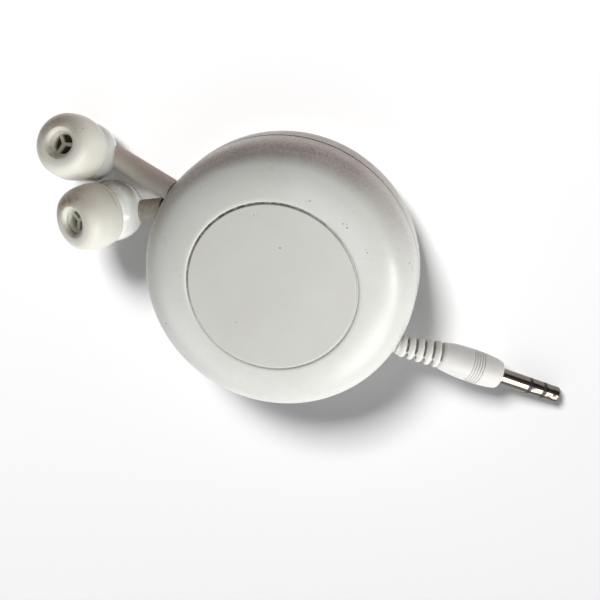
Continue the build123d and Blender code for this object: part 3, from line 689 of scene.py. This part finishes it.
def make_tip(side, bud, materials):
    matrix, way, mouth = bud_placing(bud)
    tip = lathe(f"{side}_tip_skin", tip_outline(), matrix, 128, closed=True, sharp=60)

    def around(p):
        """How far a point is behind the mouth, how far from the axis, and which way out it lies."""
        depth = (mouth - p).dot(way)
        out = (p - mouth) + way * depth
        return depth, out.length, out.normalized() if out.length > 0.1 else Vector()

    for vertex in tip.data.vertices:
        p = vertex.co / MM
        _, radius, out = around(p)
        if radius > 4.2:
            dent = noise.noise(p * 0.32) * 0.035 + noise.noise(p * 0.9) * 0.012
            vertex.co += out * dent * MM

    def grime_and_shade(p):
        """Dirt in the mouth and on the right tip's crown, and painted shade in the line round the skirt,
        darker on the side turned from the lamps.
        """
        depth, radius, out = around(p)
        total = 0.0
        if 2.55 < radius < 3.35 and 0.05 < depth < 1.0:
            total += max(0.0, out.dot(BOWL_SIDE)) * 1.1 * (0.4 + 0.8 * blotchy(p, 0.6))
        if side == "right" and 2.9 < radius < 6.2 and depth < 3:
            smudge = max(0.0, out.dot(SMUDGE_SIDE) - 0.5) * 2.3 * max(0.0, 1 - abs(radius - 4.6) / 1.6)
            total += smudge * (0.3 + blotchy(p, 0.9))
        # painted shade in the line between the skirt and the dome
        if 6.9 < depth < 7.1 and radius > 6:
            total += 0.75 * max(0.0, out.dot(TIP_SHADED_SIDE) + 0.35) * (0.5 + blotchy(p, 0.5))
        return total

    # painted shade, with some real browning, on the tip's side turned from the lamps
    def browning_and_shade(p):
        _, radius, out = around(p)
        shaded = max(0.0, out.dot(TIP_SHADED_SIDE) + 0.15)
        return shaded ** 1.3 * (0.35 + 0.65 * blotchy(p, 0.35)) * (radius > 3.3)

    stain(tip, grime_and_shade)
    stain(tip, browning_and_shade, "tan_and_shade")
    finish_piece(tip, f"{side}_tip", materials["silicone"], [f"{side}_ear_tip"])


def rounded_bar(name, length, width, height, radius, matrix):
    """A bar along +X from the origin, its top at z = 0, with rounded edges."""
    bm = bmesh.new()
    bmesh.ops.create_cube(bm, size=1.0)
    for vertex in bm.verts:
        x, y, z = vertex.co
        vertex.co = Vector(((x + 0.5) * length, y * width, (z - 0.5) * height))
    bmesh.ops.bevel(bm, geom=list(bm.edges), offset=radius, segments=4, profile=0.5, affect="EDGES")
    vertices = [tuple(v.co) for v in bm.verts]
    faces = [tuple(v.index for v in f.verts) for f in bm.faces]
    bm.free()
    return add_mesh(name, vertices, faces, matrix)


def dome_radius(depth):
    """The radius of the bud's round back, this far behind the ear tip's mouth."""
    return math.sqrt(DOME_RADIUS ** 2 - (DOME_DEPTH - depth) ** 2)


# painted shade: the dome is browner and darker on the side turned from the lamps
def dome_painted_shade(bud, p):
    return max(0.0, (p - bud["dome"]).dot(SHADED_SIDE) / DOME_RADIUS - 0.3) * 2.2


def make_bud_front(side, bud, materials):
    """The nozzle with its grille, and the front of the bud's shell down to the seam."""
    matrix, way, mouth = bud_placing(bud)
    seam_radius = dome_radius(SEAM_DEPTH)
    mouth_part = [(GRILLE_RADIUS, -3.4), (GRILLE_RADIUS, -GRILLE_DEPTH - 0.1, 0.12), (2.2, -1.45, 0.1),
                  (2.5, -RIM_DEPTH - 0.1, 0.1), (2.7, -RIM_DEPTH, 0.08),
                  (NOZZLE_RIM, -RIM_DEPTH - 0.15, 0.12), (NOZZLE_RIM, -1.9, 0.2),
                  (2.6, -2.4, 0.2), (2.6, -7.2, 0.5), (3.6, -7.7, 0.5)]
    round_part = [(dome_radius(depth), -depth, 0.3) for depth in (7.85, 8.1, 8.4, 8.7, 9.0, 9.2)]
    seam_part = [(seam_radius - 0.003, -SEAM_DEPTH + 0.01, 0.01), (seam_radius - 0.25, -SEAM_DEPTH)]
    outline = soften(mouth_part + round_part + seam_part, 0.1, 6)
    nozzle = lathe(f"{side}_nozzle", outline, matrix, 128, sharp=60)
    spokes = []
    for k in range(SPOKES):
        turn = Matrix.Rotation(math.radians(bud["turn"] + 360 / SPOKES * k), 4, "Z")
        lower = Matrix.Translation((0, 0, -GRILLE_DEPTH))
        spokes.append(rounded_bar(f"{side}_spoke_{k}", GRILLE_RADIUS + 0.15, SPOKE_WIDTH, 0.9, 0.14,
                                  matrix @ turn @ lower))
    front = join(f"{side}_bud_front", [nozzle] + spokes)

    def funnel_dirt(p):
        depth = (mouth - p).dot(way)
        if depth >= 4:
            return 0.0
        return 0.8 * max(0.0, min(1.0, depth - 1.3)) * (0.4 + 0.6 * blotchy(p, 1.2))

    stain(front, funnel_dirt)
    stain(front, lambda p: dome_painted_shade(bud, p), "tan_and_shade")
    matt = materials["funnel_plastic"]
    finish_piece(front, f"{side}_bud", matt, [f"{side}_front_housing"])
    front.data.materials.append(materials["bud_plastic"])
    for face in front.data.polygons:
        if (mouth - face.center / MM).dot(way) > GLOSSY_DEPTH:
            face.material_index = 1
    return front


def make_dome(side, bud, materials):
    matrix, way, mouth = bud_placing(bud)
    seam_radius = dome_radius(SEAM_DEPTH)
    points = [(seam_radius - 0.25, -SEAM_DEPTH - 0.01), (seam_radius - 0.003, -SEAM_DEPTH - 0.01)]
    first = math.asin((DOME_DEPTH - SEAM_DEPTH) / DOME_RADIUS) + 0.012
    steps = 48
    for k in range(1, steps + 1):
        a = first - (first + math.pi / 2) * k / steps
        points.append((max(0.0, DOME_RADIUS * math.cos(a)), -DOME_DEPTH + DOME_RADIUS * math.sin(a)))
    dome = lathe(f"{side}_dome", points, matrix, 128, sharp=60)

    def dust(p):
        depth = (mouth - p).dot(way)
        return 0.25 * math.exp(-((depth - SEAM_DEPTH) / 0.35) ** 2) * blotchy(p, 0.6)

    stain(dome, dust)
    stain(dome, lambda p: dome_painted_shade(bud, p), "tan_and_shade")
    finish_piece(dome, f"{side}_bud", materials["bud_plastic"], [f"{side}_rear_housing"])
    return dome


def make_stem(side, bud, materials):
    """The soft stem, round-shouldered at the case, with the neck that sits in the case's slot."""
    way = (bud["exit"] - bud["root"]).normalized()
    end = bud["exit"] + way * ((bud["exit"].x - STEM_END) / abs(way.x))
    length = (end - bud["root"]).length
    neck_end = length + NECK_LENGTH
    inside, groove = 0.5, 7.4
    r, bore = STEM_RADIUS, BUD_CORD / 2 + 0.02
    outline = soften([
        (r - 0.3, inside), (r, inside + 0.2), (r, groove, 0.1), (r - 0.05, groove + 0.06, 0.05),
        (r, groove + 0.14, 0.1), (r, length + 1.0, 0.4), (NECK_RADIUS, length, 0.15),
        (NECK_RADIUS, neck_end, 0.3), (bore, neck_end, 0.05), (bore, neck_end - 1.0),
    ], 0.1, 5)
    matrix = placing(bud["root"], way, Vector((0, 0, 1)))
    stem = lathe(f"{side}_stem_skin", outline, matrix, 96, sharp=60)
    sideways = way.cross(SHADED_SIDE)

    # painted shade: the stem is browner on the side turned from the lamps
    def painted_shade(p):
        return max(0.0, 0.2 - (p - bud["root"]).cross(way).dot(sideways) / r) * 0.8

    stain(stem, painted_shade, "tan_and_shade")
    # the right stem is darker all over than the left
    stain(stem, lambda p: 0.95 if side == "right" else 0.15)
    finish_piece(stem, f"{side}_bud", materials["stem_rubber"], [f"{side}_stem"])
    return end + way * NECK_LENGTH, way


# ---------------------------------------------------------------- plug

def plug_placing():
    way = direction(PLUG_HEADING, -PLUG_DROP)
    front = PLUG_TIP_END - way * METAL_LENGTH
    return placing(front, way, Vector((0, 0, 1))), front, way


def relief_placing():
    _, front, way = plug_placing()
    rear = front - way * GRIP_LENGTH
    along = direction(RELIEF_HEADING, -RELIEF_DROP)
    return placing(rear, along, Vector((0, 0, 1))), rear, along


def make_grip(materials):
    matrix, front, way = plug_placing()
    rear = -GRIP_LENGTH
    outline = [(0.0, rear - 0.1), (2.6, rear - 0.1, 0.15), (2.88, rear + 0.3, 0.4), (3.3, rear + 2.6, 1.6),
               (3.47, rear + 5.2, 1.2)]
    r = GRIP_RADIUS
    for k in range(RINGS):
        z = LAST_RING + RING_PITCH * k
        outline += [(r, z - 0.07, 0.09), (r - 0.2, z + 0.05, 0.07)]
        outline += [(r - 0.2, z + 0.16, 0.07), (r, z + 0.28, 0.09)]
    outline += [(3.44, -4.2, 0.8), (3.24, -2.0, 0.8), (2.9, -0.6, 0.3), (2.0, -0.6, 0.05), (1.98, -1.0)]
    grip = lathe("plug_grip_skin", soften(outline, 0.1, 5), matrix, 128, sharp=60)

    relief_matrix, rear_point, along = relief_placing()
    relief = make_relief(relief_matrix)

    # painted shade: the grip and the strain relief are browner on the side turned from the lamps
    def painted_shade(p):
        depth = (front - p).dot(way)
        out = (p - front) + way * depth
        shaded = max(0.0, out.normalized().dot(SHADED_SIDE)) if out.length > 0.2 else 0.0
        return shaded ** 2 * (0.4 + 0.6 * blotchy(p, 0.35))

    # painted shade, with some dirt, darker deep in the relief's slots near its axis
    def slot_dirt_and_shade(p):
        out = (p - rear_point) - along * (p - rear_point).dot(along)
        return 0.9 * max(0.0, min(1.0, (2.25 - out.length) / 0.9))

    for piece in (grip, relief):
        stain(piece, painted_shade, "tan_and_shade")
    stain(relief, slot_dirt_and_shade)
    finish_piece(grip, "plug", materials["plug_plastic"], ["plug_grip"])
    finish_piece(relief, "plug", materials["plug_plastic"])


def relief_slot(name, half, matrix):
    """A cutter for one slot: round at the bottom, flaring outwards, open on one side."""
    bottom, outside, steps = 0.35, 5.0, 10
    outline = []
    for j in range(steps + 1):
        a = math.pi * (0.5 + j / steps)
        outline.append((bottom + half * math.cos(a), half * math.sin(a)))
    outline += [(outside, -half * 2.4), (outside, half * 2.4)]
    stand = Matrix.Rotation(math.pi / 2, 4, "X")
    return prism(name, outline, -6, 6, matrix @ stand)


def relief_cone(matrix):
    """The strain relief's ridges, scalloped between the slots."""
    narrow, wide = RELIEF_RADII
    outline = [(0.0, -RELIEF_LENGTH), (1.95, -RELIEF_LENGTH, 0.2)]
    for k in range(RELIEF_RIDGES):
        z = RELIEF_PITCH * (k - RELIEF_RIDGES)
        r = narrow + (wide - narrow) * (k + 0.5) / RELIEF_RIDGES
        outline += [(r - 0.3, z + 0.1, 0.15), (r + 0.14, z + 0.5 * RELIEF_PITCH, 0.9),
                    (r - 0.22, z + RELIEF_PITCH - 0.1, 0.15)]
    outline += [(2.7, 0.25), (0.0, 0.25)]
    return lathe("strain_relief", soften(outline, 0.1, 5), matrix, 96)


def make_relief(matrix):
    """The slotted strain relief. Slots from one side and from the other leave two spines between them."""
    cone = relief_cone(matrix)
    cutters = []
    for name, half, shift, turned in (("upper", 0.22, -0.12, 0), ("lower", 0.3, 0.06, 180)):
        turn = Matrix.Rotation(math.radians(RELIEF_TURN + turned), 4, "Z")
        for k in range(RELIEF_RIDGES):
            along = Matrix.Translation((0, 0, RELIEF_PITCH * (k + 1 - RELIEF_RIDGES) + shift))
            cutters.append(relief_slot(f"{name}_slot_{k}", half, matrix @ turn @ along))
    carve(cone, cutters)
    rear, end = -RELIEF_LENGTH, -RELIEF_LENGTH - RELIEF_NECK
    core_outline = [(0.0, rear + 0.02), (1.15, rear + 0.02), (1.35, 0.4), (0.0, 0.4)]
    core = lathe("relief_core", core_outline, matrix, 48)
    neck_outline = [(0.0, end), (NECK_RADIUS, end, 0.3), (NECK_RADIUS, rear + 0.3), (0.0, rear + 0.3)]
    neck = lathe("relief_neck", soften(neck_outline, 0.2), matrix, 48)
    relief = join("strain_relief_skin", [cone, core, neck])
    melt = relief.modifiers.new("melt", "REMESH")
    melt.mode = "VOXEL"
    melt.voxel_size = RELIEF_MELT * MM
    soft = relief.modifiers.new("soften", "SMOOTH")
    soft.factor = 0.5
    soft.iterations = 4
    bpy.context.view_layer.update()
    apply_modifiers(relief)
    relief.data.shade_smooth()
    return relief


def make_contacts(materials):
    """The jack's sleeve, ring and tip, with rounded edges."""
    matrix, _, _ = plug_placing()
    r = METAL_RADIUS
    shapes = {
        "plug_sleeve": [(1.3, 6.3), (r, 6.3, 0.08), (r, 0.12, 0.05), (1.95, 0.02, 0.06), (1.95, -0.95)],
        "plug_ring_contact": [(1.3, 9.7), (r, 9.7, 0.08), (r, 7.0, 0.08), (1.3, 7.0)],
        "plug_tip_contact": [(1.2, 10.4), (r, 10.4, 0.08), (r, 11.0, 0.4), (1.68, 11.9, 0.8), (r, 12.8, 0.4),
                             (r, 13.6, 0.3), (1.25, 13.98, 0.3), (0.0, METAL_LENGTH)],
    }
    for node, outline in shapes.items():
        piece = lathe(f"{node}_skin", soften(outline, 0.05, 5), matrix, 96, sharp=50)
        finish_piece(piece, "plug", materials["contact_metal"], [node])


# ---------------------------------------------------------------- cords that are drawn out

def drawn_cord(name, inner, outer, radius, material):
    """The cord between the case's guide and a neck."""
    way = outer - inner
    rows, segments = 24, 24
    outline = [(radius, way.length * k / rows) for k in range(rows + 1)]
    cord = lathe(name, outline, placing(inner, way, Vector((0, 0, 1))), segments)
    cord.data.materials.append(material)
    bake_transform(cord)


def make_bud(side, bud, materials):
    """One bud on its stem. Returns the two pieces of its glossy back."""
    make_tip(side, bud, materials)
    glossy = [make_bud_front(side, bud, materials), make_dome(side, bud, materials)]
    neck_end, way = make_stem(side, bud, materials)
    inner = neck_end + Vector((way.x, way.y, 0)).normalized() * 1.2
    outer = neck_end - way * 0.6
    drawn_cord(f"{side}_cord_drawn", inner, outer, BUD_CORD / 2, materials["cord_sheath"])
    return glossy


def make_plug_cord(materials):
    _, rear_point, along = relief_placing()
    relief_end = rear_point - along * RELIEF_LENGTH
    outward = direction(RELIEF_HEADING, 0)
    inner, outer = relief_end - outward * 2.8, relief_end - outward * 1.0
    drawn_cord("plug_cord_drawn", inner, outer, PLUG_CORD / 2, materials["cord_sheath"])


# ---------------------------------------------------------------- stage

def make_floor():
    floor_mesh = bpy.data.meshes.new("floor")
    bm = bmesh.new()
    bmesh.ops.create_grid(bm, x_segments=8, y_segments=8, size=2.5)
    bm.to_mesh(floor_mesh)
    bm.free()
    floor = bpy.data.objects.new("floor", floor_mesh)
    bpy.context.scene.collection.objects.link(floor)
    floor.location.z = -0.02 * MM
    m = Nodes("floor")
    paper = m.mix(m.noise(FLOOR_SCALE, 2.0), (0.90, 0.90, 0.90), (0.92, 0.92, 0.92))
    m.link(paper, m.shader.inputs["Base Color"])
    m.set(Roughness=0.8)
    floor_mesh.materials.append(m.material)
    return floor


def view_axes():
    tilt, roll = math.radians(CAMERA_TILT), math.radians(CAMERA_ROLL)
    toward = Vector((0, -math.sin(tilt), math.cos(tilt)))
    right, up = Vector((1, 0, 0)), Vector((0, math.cos(tilt), math.sin(tilt)))
    image_right = right * math.cos(roll) + up * math.sin(roll)
    image_up = up * math.cos(roll) - right * math.sin(roll)
    return image_right, image_up, toward


def make_camera():
    image_right, image_up, toward = view_axes()
    aim = Vector((0, 0, MID)) + image_right * CAMERA_RIGHT + image_up * CAMERA_UP
    turn = Matrix((image_right, image_up, toward)).transposed().to_4x4()
    data = bpy.data.cameras.new("camera")
    data.sensor_width = CAMERA_SENSOR
    data.lens = CAMERA_LENS
    data.clip_start = 2 * MM
    camera = bpy.data.objects.new("camera", data)
    bpy.context.scene.collection.objects.link(camera)
    camera.matrix_world = Matrix.Translation((aim + toward * CAMERA_DISTANCE) * MM) @ turn
    bpy.context.scene.camera = camera


def light_group(name, pieces, state):
    """These pieces alone, or everything but them, as the things that a lamp lights."""
    group = bpy.data.collections.new(name)
    for piece in pieces:
        group.objects.link(piece)
    for member in group.collection_objects:
        member.light_linking.link_state = state
    return group


def make_lamps(floor, bud_back):
    """The table has a lamp of its own, and so has the back of the bud that the case would shade."""
    groups = {
        "table": light_group("lit_table", [floor], "INCLUDE"),
        "object": light_group("lit_object", [floor], "EXCLUDE"),
        "bud_back": light_group("lit_bud_back", bud_back, "INCLUDE"),
    }
    for name, (place, aim, size, power, colour, lit) in LAMPS.items():
        data = bpy.data.lights.new(name, "AREA")
        data.shape = "RECTANGLE"
        data.size, data.size_y = size
        data.energy = power
        data.color = colour
        light = bpy.data.objects.new(name, data)
        bpy.context.scene.collection.objects.link(light)
        light.location = place
        light.rotation_mode = "QUATERNION"
        light.rotation_quaternion = (Vector(aim) - Vector(place)).to_track_quat("-Z", "Y")
        light.light_linking.receiver_collection = groups[lit]
        if lit == "bud_back":
            light.light_linking.blocker_collection = groups[lit]


def make_sky():
    """Soft light from all round, brighter on one side."""
    world = bpy.data.worlds.new("studio")
    world.use_nodes = True
    tree = world.node_tree
    sky = tree.nodes["Background"]
    place = tree.nodes.new("ShaderNodeTexCoord")
    split = tree.nodes.new("ShaderNodeVectorMath")
    split.operation = "DOT_PRODUCT"
    split.inputs[1].default_value = SKY_SIDE
    tree.links.new(place.outputs["Generated"], split.inputs[0])
    ramp = tree.nodes.new("ShaderNodeValToRGB")
    low, high = ramp.color_ramp.elements
    low.position, high.position = 0.0, 0.9
    low.color, high.color = SKY_LOW, SKY_HIGH
    tree.links.new(split.outputs["Value"], ramp.inputs["Fac"])
    tree.links.new(ramp.outputs["Color"], sky.inputs["Color"])
    sky.inputs["Strength"].default_value = SKY_STRENGTH
    bpy.context.scene.world = world


# ---------------------------------------------------------------- build everything

make_camera()
floor = make_floor()
bpy.context.scene.view_settings.view_transform = "Standard"
materials = case_materials() | bud_materials() | plug_materials()
paint_frame(materials)
make_shells(materials)
make_disc(materials)
bud_backs = {}
for side, bud in BUDS.items():
    bud_backs[side] = make_bud(side, bud, materials)
make_grip(materials)
make_contacts(materials)
make_plug_cord(materials)
make_lamps(floor, bud_backs["right"])
make_sky()
